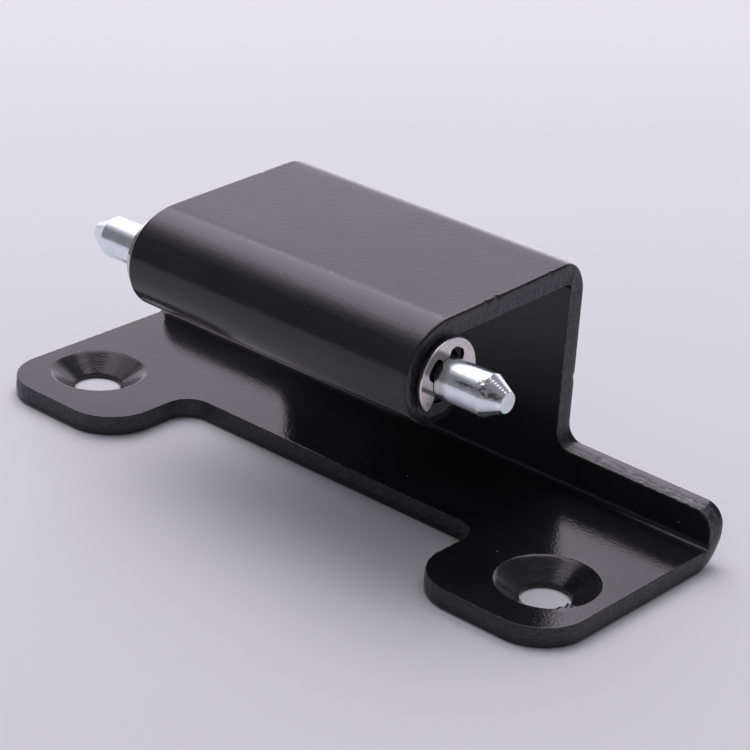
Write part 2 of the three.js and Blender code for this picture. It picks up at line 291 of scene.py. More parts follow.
for i, (inset, n, edge, shear, amount) in enumerate(fracture):
    nn = np.full(N, n) if i == 0 else line_n + n
    nn = np.minimum(nn, T - RI - 0.16)
    rough = amount * (0.030 * rough_a(perim) + 0.022 * rough_b(perim + 3.1 * n) + 0.018 * rough_c(perim, nn * 1.0))
    k = inset - rough * 0.9
    k = np.maximum(k, 0.0)
    rings.append(add_ring(outline[:, :2] - outline[:, 2:] * k[:, None], nn, edge, shear))
lip = 0.085 - 0.03 * rough_a(perim)
lip = np.maximum(lip, 0.0)
for th in (0, 30, 60, 90):
    a = math.radians(th)
    k = lip + RI * (1 - math.cos(a))
    nn = T - RI * (1 - math.sin(a))
    rings.append(add_ring(outline[:, :2] - outline[:, 2:] * k[:, None], nn, 1.0, 1.0 - th / 90.0))
for inset, edge in ((0.34, 0.15), (0.75, 0.0)):
    rings.append(add_ring(outline[:, :2] - outline[:, 2:] * inset, T, edge, 0.0))
for a, b in zip(rings[:-1], rings[1:]):
    bridge(a, b)

# countersunk holes: rings from the inner face down to the outer face
HN = 132
ang = np.linspace(0, 2 * np.pi, HN, endpoint=False)
hole_s = HOLE_Y - FRONT
hole_loops = {"in": [], "out": []}
for side in (-1, 1):
    r_ = np.random.default_rng(40 + side)
    cx = side * HOLE_X
    # cutter chatter: irregular flats round the cone, with a few scored lines
    cuts = np.cumsum(r_.uniform(0.16, 0.75, 15))
    cuts = cuts / cuts[-1] * 2 * np.pi
    first = np.searchsorted(cuts, ang, side="right") % len(cuts)
    lo_cut, hi_cut = np.concatenate([[0.0], cuts[:-1]])[first], cuts[first]
    flat_w = (hi_cut - lo_cut) / 2
    chatter = ((ang - (lo_cut + hi_cut) / 2) / flat_w) ** 2 * flat_w * 2.2 - 0.4
    score = np.zeros(HN)
    for f0 in r_.uniform(0, 2 * np.pi, 9):
        d = (ang - f0 + np.pi) % (2 * np.pi) - np.pi
        score += r_.uniform(0.4, 1) * np.exp(-((d / 0.022) ** 2))
    burr = np.zeros(HN)
    if side > 0:                    # a crumb of metal left on the upper rim
        d = (ang - math.radians(-27) + np.pi) % (2 * np.pi) - np.pi
        burr = np.exp(-((d / 0.07) ** 2)) + 0.5 * np.exp(-(((d + 0.17) / 0.07) ** 2))
    hr = []
    plan = [(CSK_R + 0.75, T, 0.0, 0, 0.0), (CSK_R + 0.22, T, 0.15, 0, 0.0), (CSK_R + 0.07, T - 0.012, 0.9, 0, 0.1), (CSK_R - 0.03, T - 0.075, 1.0, 0.3, 0.6)]
    for i in range(13):
        r = CSK_R - 0.16 - (CSK_R - 0.16 - HOLE_R - 0.07) * i / 12
        plan.append((r, CSK_LAND + (r - HOLE_R) * (T - CSK_LAND) / (CSK_R - HOLE_R), 0.0, 1.0, 1.0))
    plan += [(HOLE_R + 0.015, CSK_LAND - 0.02, 0.9, 0.2, 0.8), (HOLE_R, CSK_LAND - 0.10, 0.4, 0, 0.3), (HOLE_R + 0.01, 0.30, 0.0, 0, 0.0),
             (HOLE_R + 0.02, 0.16, 0.3, 0, 0.0), (HOLE_R + 0.10, 0.03, 0.8, 0, 0.0), (HOLE_R + 0.26, 0.0, 0.4, 0, 0.0), (HOLE_R + 0.7, 0.0, 0.0, 0, 0.0)]
    for r, n, edge, cone, csk in plan:
        rr = np.full(HN, r)
        nn = np.full(HN, n)
        if cone:
            mid = math.sin(math.pi * np.clip((r - HOLE_R) / (CSK_R - HOLE_R), 0, 1)) ** 0.5
            nn = nn + cone * mid * (0.050 * chatter - 0.022 * score) + 0.0016 * math.sin(r * 2 * math.pi / 0.42) * cone
        if CSK_R - 0.2 < r < CSK_R + 0.1:
            rr = rr - (0.80 if r < CSK_R else 0.45) * burr
            nn = nn + (0.26 if r < CSK_R else 0.34) * burr
        pts = np.stack([cx + rr * np.cos(ang), hole_s + rr * np.sin(ang)], 1)
        hr.append(add_ring(pts, nn, edge, 0.25 if 0.02 < n < CSK_LAND - 0.03 else 0.0, csk))
    for a, b in zip(hr[:-1], hr[1:]):
        bridge(a, b)
    hole_loops["in"].append((hr[0], cx, CSK_R + 0.75))
    hole_loops["out"].append((hr[-1], cx, HOLE_R + 0.7))


def inside(pts, poly):
    x, y = pts[:, 0], pts[:, 1]
    c = np.zeros(len(pts), bool)
    j = len(poly) - 1
    for i in range(len(poly)):
        xi, yi, xj, yj = *poly[i], *poly[j]
        if yi != yj:
            m = (yi > y) != (yj > y)
            c ^= m & (x < (xj - xi) * (y - yi) / (yj - yi) + xi)
        j = i
    return c


def near_any(pts, poly, d):
    """Which points lie closer than d to any vertex of poly."""
    tree = KDTree(len(poly))
    for i, q in enumerate(poly):
        tree.insert((q[0], q[1], 0), i)
    tree.balance()
    return np.array([tree.find((q[0], q[1], 0))[2] < d for q in pts], bool)


# rows of inner points along s: close together in the bends, wider on the flats
rows = []
for i, g in enumerate(SEGMENTS):
    count = {0: 26, 1: 16, 2: 20, 3: 16, 4: 17, 5: 9, 6: 62}[i]
    rows.extend(STARTS[i] + g[1] * (np.arange(count) + (0.5 if g[0] == "line" else 0.0)) / count)
rows = np.array(rows)
cols = np.arange(-HALF + 0.6, HALF, 1.3)
grid = np.stack(np.meshgrid(cols, rows), -1).reshape(-1, 2)
grid_in = grid[inside(grid, (outline[:, :2] - outline[:, 2:] * 0.95)[::3])]


def fill(loop, n, holes, up):
    poly = np.array([V[i][:2] for i in loop])
    keep = ~near_any(grid_in, poly, 0.42)
    for _, cx, r in holes:
        keep &= np.hypot(grid_in[:, 0] - cx, grid_in[:, 1] - hole_s) > r + 0.35
    extra_pts = grid_in[keep]
    ids = list(loop)
    edges = [(i, (i + 1) % len(loop)) for i in range(len(loop))]
    for hl, cx, r in holes:
        start = len(ids)
        ids.extend(hl)
        edges += [(start + i, start + (i + 1) % len(hl)) for i in range(len(hl))]
    first = len(V)
    add_ring(extra_pts, n, 0.0, 0.0)
    ids.extend(range(first, len(V)))
    co = [Vector(V[i][:2]) for i in ids]
    v2, _, tris, orig, _, _ = delaunay_2d_cdt(co, edges, [], 0, 1e-6, True)
    src = [ids[o[0]] for o in orig]
    tri = np.array(tris)
    p = np.array([tuple(v) for v in v2])
    cen = p[tri].mean(1)
    ok = np.ones(len(tri), bool)
    rim = (np.array(src)[tri] < first).all(1)     # only these can lie outside
    ok[rim] = inside(cen[rim], poly)
    for _, cx, r in holes:
        ok &= np.hypot(cen[:, 0] - cx, cen[:, 1] - hole_s) > r * math.cos(math.pi / HN) - 1e-4
    for t in tri[ok]:
        a, b, c = p[t]
        ccw = (b[0] - a[0]) * (c[1] - a[1]) - (b[1] - a[1]) * (c[0] - a[0]) > 0
        t = [src[i] for i in t]
        F.append(tuple(t if ccw == up else t[::-1]))


fill(rings[0], 0.0, hole_loops["out"], False)
fill(rings[-1], T, hole_loops["in"], True)

flat = np.array(V)
EDGE, SHEAR, CSK = np.array(EDGE), np.array(SHEAR), np.array(CSK)

# gentle unevenness of the rolled sheet, the same on both faces
wave = waves(21, 14, 14, 46, 2)
lift = 0.016 * wave(flat[:, 0], flat[:, 1])
flat[:, 2] += lift * smooth(flat[:, 1], 0.5, 4.0) * (1 - 0.6 * smooth(flat[:, 1], STARTS[5], STARTS[6]))
yy, zz = section(flat[:, 1], flat[:, 2])
xx = flat[:, 0].copy()
# where the sheet is bent, its ends swell on the inside of the bend and draw in on the outside
for seg, amount in ((1, 0.30), (3, 0.26), (5, 0.10), (6, 0.12)):
    mid, half_len = (STARTS[seg] + STARTS[seg + 1]) / 2, (STARTS[seg + 1] - STARTS[seg]) / 2
    along = np.exp(-((np.abs(flat[:, 1] - mid) / (half_len * 0.85)) ** 4))
    end = HALF if seg == 1 else WEB
    close = smooth(np.abs(flat[:, 0]), end - 2.6, end - 0.1) * (np.abs(flat[:, 0]) < end + 0.5)
    through = flat[:, 2] / T
    xx += np.sign(flat[:, 0]) * amount * along * close * (through ** 2 * 1.0 - 0.85 * (1 - through))
xx = np.clip(xx, -HALF, HALF)
bracket_co = np.stack([xx, yy, zz], 1)
for k in range(3):
    bracket_co[:, k] = np.clip(bracket_co[:, k], b_lo[k], b_hi[k])


# ------------------------------------------------------------------ meshes
def area_normals(co, faces):
    tri = []
    for f in faces:
        for i in range(1, len(f) - 1):
            tri.append((f[0], f[i], f[i + 1]))
    tri = np.array(tri)
    a, b, c = co[tri[:, 0]], co[tri[:, 1]], co[tri[:, 2]]
    fn = np.cross(b - a, c - a)
    out = np.zeros_like(co)
    for k in range(3):
        np.add.at(out, tri[:, k], fn)
    length = np.linalg.norm(out, axis=1)
    length[length == 0] = 1
    return out / length[:, None]


def make(name, co, faces, attributes=None, normals=None):
    mesh = bpy.data.meshes.new(name)
    mesh.from_pydata([tuple(c) for c in np.asarray(co) * MM], [], [tuple(int(i) for i in f) for f in faces])
    mesh.update()
    for key, values in (attributes or {}).items():
        at = mesh.attributes.new(key, "FLOAT", "POINT")
        at.data.foreach_set("value", np.asarray(values, np.float32))
    mesh.polygons.foreach_set("use_smooth", np.ones(len(mesh.polygons), bool))
    n = area_normals(np.asarray(co, float), faces) if normals is None else normals
    mesh.normals_split_custom_set_from_vertices([tuple(v) for v in n])
    mesh.update()
    o = bpy.data.objects.new(name, mesh)
    bpy.context.scene.collection.objects.link(o)
    return o


# the finish needs to know where the cutter went round each hole
hole_dist = np.minimum(np.hypot(flat[:, 0] - HOLE_X, flat[:, 1] - hole_s), np.hypot(flat[:, 0] + HOLE_X, flat[:, 1] - hole_s))
hole_turn = np.arctan2(flat[:, 1] - hole_s, np.abs(flat[:, 0]) - HOLE_X)
bracket = make("folded_bracket", bracket_co, F, {
    "edge": EDGE, "shear": SHEAR, "csk": CSK, "hole_dist": hole_dist,
    "flat_x": flat[:, 0], "flat_s": flat[:, 1], "flat_n": flat[:, 2],
})


def turned(name, profile, centre, segments, attributes=()):
    """A solid of revolution about a line along X. profile holds (x, r, ...attributes), ends on the axis."""
    co, att = [], {a: [] for a in attributes}
    ring_ids = []
    for row in profile:
        x, r = row[0], row[1]
        start = len(co)
        k = 1 if r <= 1e-9 else segments
        for i in range(k):
            a = 2 * math.pi * i / segments
            rr = r
            co.append((x, centre[0] + rr * math.cos(a), centre[1] + rr * math.sin(a)))
            for m, key in enumerate(attributes):
                att[key].append(row[2 + m])
        ring_ids.append(list(range(start, start + k)))
    faces = []
    for a, b in zip(ring_ids[:-1], ring_ids[1:]):
        for i in range(segments):
            j = (i + 1) % segments
            if len(a) == 1:
                faces.append((a[0], b[j], b[i]))
            elif len(b) == 1:
                faces.append((a[i], a[j], b[0]))
            else:
                faces.append((a[i], a[j], b[j], b[i]))
    return co, faces, att


def rounded(points, radii, steps=5):
    """A polyline in (x, r) with each inner corner rounded by the given radius."""
    out = [points[0]]
    for i in range(1, len(points) - 1):
        p, q, w = (np.array(v, float) for v in (points[i - 1], points[i], points[i + 1]))
        rad = radii[i]
        if rad <= 0:
            out.append(tuple(q))
            continue
        d0, d1 = p - q, w - q
        l0, l1 = np.linalg.norm(d0), np.linalg.norm(d1)
        d0, d1 = d0 / l0, d1 / l1
        half = math.acos(np.clip(d0 @ d1, -1, 1)) / 2
        run = min(rad / math.tan(half), 0.48 * l0, 0.48 * l1)
        rad = run * math.tan(half)
        mid = (d0 + d1) / np.linalg.norm(d0 + d1)
        c = q + mid * (rad / math.sin(half))
        s0, s1 = q + d0 * run - c, q + d1 * run - c
        t0, t1 = math.atan2(s0[1], s0[0]), math.atan2(s1[1], s1[0])
        dt = (t1 - t0 + math.pi) % (2 * math.pi) - math.pi
        for k in range(steps + 1):
            t = t0 + dt * k / steps
            out.append((c[0] + rad * math.cos(t), c[1] + rad * math.sin(t)))
    out.append(points[-1])
    return out


def densify(points, step):
    out = []
    for p, q in zip(points[:-1], points[1:]):
        k = max(1, int(math.ceil(math.dist(p, q) / step)))
        for i in range(k):
            out.append((p[0] + (q[0] - p[0]) * i / k, p[1] + (q[1] - p[1]) * i / k))
    out.append(points[-1])
    return out


# ---- pin: turned from drawn rod, plated; the tips show the tool's feed marks
PIN_R = (p_hi.z - p_lo.z) / 2
CONE, TIP_R, GROOVE_R = 2.9, 1.45, 2.5
xr, xl = p_hi.x, p_lo.x
g_half = 0.37
gr, gl = (r_lo.x + r_hi.x) / 2, (l_lo.x + l_hi.x) / 2
raw = [(xl, 0), (xl, TIP_R), (xl + CONE, PIN_R), (gl - g_half, PIN_R), (gl - g_half, GROOVE_R), (gl + g_half, GROOVE_R), (gl + g_half, PIN_R),
       (gr - g_half, PIN_R), (gr - g_half, GROOVE_R), (gr + g_half, GROOVE_R), (gr + g_half, PIN_R), (xr - CONE, PIN_R), (xr, TIP_R), (xr, 0)]
radii = [0, 0.16, 0.55, 0.05, 0.06, 0.06, 0.05, 0.05, 0.06, 0.06, 0.05, 0.55, 0.16, 0]
line = densify(rounded(raw, radii, 7), 0.14)
line = [p for i, p in enumerate(line) if i % 8 == 0 or not gl + 2 < p[0] < gr - 2]    # few rows inside the knuckle
profile = []
feed = waves(31, 10, 0.28, 0.5)
body_wave = waves(32, 12, 1.2, 7.0)
for x, r in line:
    depth_cone = max(smooth(x, xr - CONE + 0.10, xr - CONE + 0.5) * (1 - smooth(x, xr - 0.22, xr - 0.05)),
                     (1 - smooth(x, xl + CONE - 0.5, xl + CONE - 0.10)) * smooth(x, xl + 0.05, xl + 0.22))
    if r > TIP_R * 0.9:
        r = r - depth_cone * 0.010 * (1 + math.sin(2 * math.pi * x / 0.37)) * 0.9 - depth_cone * 0.004 * float(feed(x))
    on_body = 1.0 if r > PIN_R - 0.02 else 0.0
    r = min(r - 0.0 if not on_body else PIN_R - 0.006 + 0.004 * float(body_wave(x)), PIN_R)
    tip = 1.0 if (x > xr - 0.03 or x < xl + 0.03) else 0.0
    profile.append((x, max(r, 0.0), depth_cone, tip))
# a shallow dish left by parting off
profile = [(x + (-1 if x > 0 else 1) * (0.03 * (1 - (r / TIP_R) ** 2) if tip and r < TIP_R else 0.0), r, c, tip) for x, r, c, tip in profile]
inner = []
for e in (profile[0], profile[-1]):
    sgn = 1 if e[0] > 0 else -1
    for f in (0.85, 0.6, 0.35, 0.15):
        inner.append((e[0] + sgn * 0.03 * (1 - f) * 0 + (-sgn) * 0.0, TIP_R * f, 0.0, 1.0, sgn))
profile = [profile[0]] + [(xl + 0.03 * (1 - (r / TIP_R) ** 2), r, c, t) for _, r, c, t, sg in sorted(inner, key=lambda v: v[1]) if sg < 0] \
    + profile[1:-1] + [(xr - 0.03 * (1 - (r / TIP_R) ** 2), r, c, t) for _, r, c, t, sg in sorted(inner, key=lambda v: -v[1]) if sg > 0] + [profile[-1]]
# drop the rows of the end faces that densify made, then keep the dish rows in order
clean = []
for row in profile:
    if clean and abs(row[0] - clean[-1][0]) < 1e-9 and abs(row[1] - clean[-1][1]) < 1e-9:
        continue
    clean.append(row)
left_face = sorted([r for r in clean if r[0] < xl + 0.031 and r[1] < TIP_R - 0.17], key=lambda v: v[1])
right_face = sorted([r for r in clean if r[0] > xr - 0.031 and r[1] < TIP_R - 0.17], key=lambda v: -v[1])
middle = [r for r in clean if r not in left_face and r not in right_face]
profile = left_face + middle + right_face
co, faces, att = turned("pin", profile, (PIN_Y, PIN_Z), 144, ("cone", "tip"))
co = np.array(co)
# a bruise across the upper shoulder of the near tip, from knocking the pin in
th = np.degrees(np.arctan2(co[:, 2] - PIN_Z, co[:, 1] - PIN_Y)) % 360
rr = np.hypot(co[:, 2] - PIN_Z, co[:, 1] - PIN_Y)
dent_f = waves(33, 40, 0.25, 1.1, 2)
dent = np.exp(-(((co[:, 0] - (xr - CONE - 0.05)) / 0.55) ** 2)) * np.exp(-(((th - 126) / 17) ** 2)) * (rr > TIP_R)
push = dent * (0.05 + 0.055 * dent_f(co[:, 0], np.radians(th) * PIN_R))
push = np.clip(push, 0, 0.13)
safe = np.maximum(rr, 1e-6)
co[:, 1] -= (co[:, 1] - PIN_Y) / safe * push
co[:, 2] -= (co[:, 2] - PIN_Z) / safe * push
att["bruise"] = dent
att["pin_turn"] = th
pin = make("turned_pin", co, faces, att)


# ---- retaining rings: stamped, so one face has a rolled edge and the other a sharp one
def ring_outline():
    seat, hollow, R = GROOVE_R + 0.07, 4.15, (r_hi.z - r_lo.z) / 2
    R = 5.5

    def pol(r, a):
        return (r * math.cos(math.radians(a)), r * math.sin(math.radians(a)))

    right = [pol(R - 0.9, -33), pol(R - 0.35, -31.8), pol(R - 0.06, -28.6)] + [pol(R, a) for a in np.arange(-25, 90.1, 5.0)]
    inn = [pol(seat, 90), pol(seat, 84), pol(seat + 0.04, 79), pol(2.95, 76.6), pol(3.5, 74), pol(3.93, 69)]
    inn += [pol(hollow, a) for a in (61, 54, 47, 41, 36)]
    inn += [pol(3.95, 29.5), pol(3.5, 23.5), pol(2.97, 19.3), pol(seat + 0.03, 15), pol(seat, 8), pol(seat, 0), pol(seat, -11),
            pol(seat + 0.30, -22), pol(3.42, -28), pol(3.95, -31.6)]
    left = [(-x, y) for x, y in right[:-1]][::-1]
    inn_left = [(-x, y) for x, y in inn[1:]][::-1]
    pts = right + left + inn_left + inn
    return np.array(pts)


def catmull(points, sub):
    n = len(points)
    out = []
    for i in range(n):
        p0, p1, p2, p3 = (points[(i + k - 1) % n] for k in range(4))
        for j in range(sub):
            t = j / sub
            out.append(0.5 * ((2 * p1) + (-p0 + p2) * t + (2 * p0 - 5 * p1 + 4 * p2 - p3) * t * t + (-p0 + 3 * p1 - 3 * p2 + p3) * t ** 3))
    return np.array(out)


def make_ring(name, x_in, x_out, seed):
    """x_out is the face away from the knuckle."""
    o2 = catmull(ring_outline(), 4)
    tan = np.roll(o2, -1, 0) - np.roll(o2, 1, 0)
    nr = np.stack([tan[:, 1], -tan[:, 0]], 1)
    nr /= np.linalg.norm(nr, axis=1)[:, None]
    area = 0.5 * np.sum(o2[:, 0] * np.roll(o2[:, 1], -1) - np.roll(o2[:, 0], -1) * o2[:, 1])
    if area < 0:
        nr = -nr
    # tight corners take a smaller inset, so that no inset line crosses itself
    d0, d1 = o2 - np.roll(o2, 1, 0), np.roll(o2, -1, 0) - o2
    bend = np.arctan2(d0[:, 0] * d1[:, 1] - d0[:, 1] * d1[:, 0], (d0 * d1).sum(1)) * (1 if area > 0 else -1)
    radius = 0.5 * (np.linalg.norm(d0, axis=1) + np.linalg.norm(d1, axis=1)) / np.maximum(bend, 1e-6)
    limit = np.clip(radius * 0.7 / 0.24, 0.12, 1.0)
    limit = np.min([np.roll(limit, i) for i in range(-5, 6)], axis=0)
    limit = np.mean([np.roll(limit, i) for i in range(-3, 4)], axis=0)
    t = abs(x_out - x_in)
    ru, rl = 0.13, 0.035
    rows = [(0.24, 0.0, 0.0), (ru + 0.03, 0.0, 0.3)]
    for a in (0, 30, 60, 90):
        a = math.radians(a)
        rows.append((ru * (1 - math.sin(a)), ru * 0.8 * (1 - math.cos(a)), 1.0))
    rows += [(0.0, 0.24, 0.2), (0.012, 0.30, 0.4), (0.02, t - rl - 0.05, 0.4), (0.02, t - rl, 1.0), (0.02 + rl, t, 1.0), (0.12, t, 0.2), (0.2, t, 0.0)]
    per = np.concatenate([[0], np.cumsum(np.linalg.norm(np.diff(o2, axis=0), axis=1))])
    wob = waves(seed, 30, 0.4, 2.4)(per)
    k = len(o2)
    co, edge, faces, loops = [], [], [], []
    sign = 1 if x_out > x_in else -1
    ca, sa = math.cos(math.radians(13.5)), math.sin(math.radians(13.5))
    for inset, depth, e in rows:
        ins = inset + (0.004 * wob if 0.29 < depth < t - 0.01 else 0)
        p = o2 - nr * (np.broadcast_to(ins, k) * limit)[:, None]
        q = np.stack([p[:, 0] * ca - p[:, 1] * sa, p[:, 0] * sa + p[:, 1] * ca], 1)
        start = len(co)
        for a, b in q:
            co.append((x_out - sign * depth, PIN_Y + a, PIN_Z + b))
        edge.extend([e] * k)
        loops.append(list(range(start, start + k)))
    flip = sign < 0
    if area < 0:
        flip = not flip
    for a, b in zip(loops[:-1], loops[1:]):
        for i in range(k):
            j = (i + 1) % k
            q = (a[i], b[i], b[j], a[j])
            faces.append(q[::-1] if flip else q)
    for loop, is_out in ((loops[0], True), (loops[-1], False)):
        pts = [Vector((co[i][1], co[i][2])) for i in loop]
        v2, _, tris, orig, _, _ = delaunay_2d_cdt(pts, [(i, (i + 1) % k) for i in range(k)], [], 0, 1e-7, True)
        p = np.array([tuple(v) for v in v2])
        tri = np.array([t for t in tris if len(t) == 3])
        ok = inside(p[tri].mean(1), np.array([tuple(v) for v in pts]))
        for t3 in tri[ok]:
            a, b, c = p[t3]
            ccw = (b[0] - a[0]) * (c[1] - a[1]) - (b[1] - a[1]) * (c[0] - a[0]) > 0
            if not all(orig[i] for i in t3):
                continue
            ids = [loop[orig[i][0]] for i in t3]
            faces_plus_x = (sign > 0) == is_out     # this face looks along +X
            faces.append(tuple(ids if ccw == faces_plus_x else ids[::-1]))
    return make(name, np.array(co), faces, {"edge": edge})


ring_right = make_ring("retaining_ring_right", r_lo.x, r_hi.x, 51)
ring_left = make_ring("retaining_ring_left", l_hi.x, l_lo.x, 52)

# ---- bush: moulded sleeve with chamfered mouths
bz = (u_lo.z + u_hi.z) / 2
bo, bi, bx = (u_hi.z - u_lo.z) / 2, 3.4, u_hi.x
sleeve = [(-bx, bi + 0.18), (-bx, bo - 0.12), (-bx + 0.12, bo), (-bx + 0.6, bo), (0, bo), (bx - 0.6, bo), (bx - 0.12, bo), (bx, bo - 0.12),
          (bx, bi + 0.18), (bx - 0.3, bi), (bx - 1.2, bi), (0, bi), (-bx + 1.2, bi), (-bx + 0.3, bi)]
sc, sf = [], []
SEG = 96
for x, r in sleeve:
    for i in range(SEG):
        a = 2 * math.pi * i / SEG
        sc.append((x, PIN_Y + r * math.cos(a), bz + r * math.sin(a)))
for i in range(len(sleeve)):
    a, b = i * SEG, ((i + 1) % len(sleeve)) * SEG
    for k in range(SEG):
        j = (k + 1) % SEG
        sf.append((a + k, a + j, b + j, b + k))
bush = make("knuckle_sleeve", np.array(sc), sf)


# ------------------------------------------------------------------ materials
class Graph:
    def __init__(self, name, world=None):
        if world is None:
            self.mat = bpy.data.materials.new(name)
        else:
            self.mat = world
        self.mat.use_nodes = True
        self.t = self.mat.node_tree
        self.t.nodes.clear()

    def add(self, kind, props=None, **inputs):
        n = self.t.nodes.new(kind)
        for k, v in (props or {}).items():
            setattr(n, k, v)
        for k, v in inputs.items():
            key = int(k[1:]) if k[0] == "i" and k[1:].isdigit() else k.replace("_", " ")
            self.set(n, key, v)
        return n

    def set(self, n, key, v):
        s = n.inputs[key]
        if isinstance(v, bpy.types.NodeSocket):
            self.t.links.new(v, s)
        elif isinstance(v, bpy.types.Node):
            self.t.links.new(v.outputs[0], s)
        else:
            if isinstance(v, (tuple, list)) and len(v) == 3 and s.type == "RGBA":
                v = (*v, 1.0)
            s.default_value = v

    def math(self, op, a, b=0.0, c=None, clamp=False):
        n = self.add("ShaderNodeMath", {"operation": op, "use_clamp": clamp})
        self.set(n, 0, a)
        self.set(n, 1, b)
        if c is not None:
            self.set(n, 2, c)
        return n.outputs[0]

    def ramp(self, v, lo, hi, out_lo=0.0, out_hi=1.0, kind="SMOOTHSTEP"):
        n = self.add("ShaderNodeMapRange", {"interpolation_type": kind})
        for key, val in (("Value", v), ("From Min", lo), ("From Max", hi), ("To Min", out_lo), ("To Max", out_hi)):
            self.set(n, key, val)
        return n.outputs[0]

    def mix(self, f, a, b):
        n = self.add("ShaderNodeMix", {"data_type": "RGBA"})
        self.set(n, 0, f)
        self.set(n, 6, a if not isinstance(a, tuple) else (*a, 1.0))
        self.set(n, 7, b if not isinstance(b, tuple) else (*b, 1.0))
        return n.outputs[2]

    def mixf(self, f, a, b):
        n = self.add("ShaderNodeMix", {"data_type": "FLOAT"})
        self.set(n, 0, f)
        self.set(n, 2, a)
        self.set(n, 3, b)
        return n.outputs[0]

    def noise(self, vec, scale, detail=2.0, rough=0.5, distortion=0.0):
        return self.add("ShaderNodeTexNoise", {"noise_dimensions": "3D"}, Vector=vec, Scale=scale, Detail=detail, Roughness=rough, Distortion=distortion).outputs[0]

    def attr(self, name):
        return self.add("ShaderNodeAttribute", {"attribute_type": "GEOMETRY", "attribute_name": name}).outputs["Fac"]

    def bump(self, height, distance, normal=None, strength=1.0):
        n = self.add("ShaderNodeBump", Height=height, Distance=distance, Strength=strength)
        if normal is not None:
            self.set(n, "Normal", normal)
        return n.outputs[0]

    def mm(self, scale=(1000.0, 1000.0, 1000.0)):
        """Object coordinates in millimetres. Objects sit at the origin, so these are the part's own."""
        tc = self.add("ShaderNodeTexCoord")
        m = self.add("ShaderNodeMapping", Vector=tc.outputs["Object"])
        m.inputs["Scale"].default_value = scale
        return m.outputs[0]

    def combine(self, x, y, z):
        n = self.add("ShaderNodeCombineXYZ")
        for i, v in enumerate((x, y, z)):
            self.set(n, i, v)
        return n.outputs[0]

    def out(self, shader):
        o = self.add("ShaderNodeOutputMaterial")
        self.t.links.new(shader.outputs[0], o.inputs[0])
        return self.mat


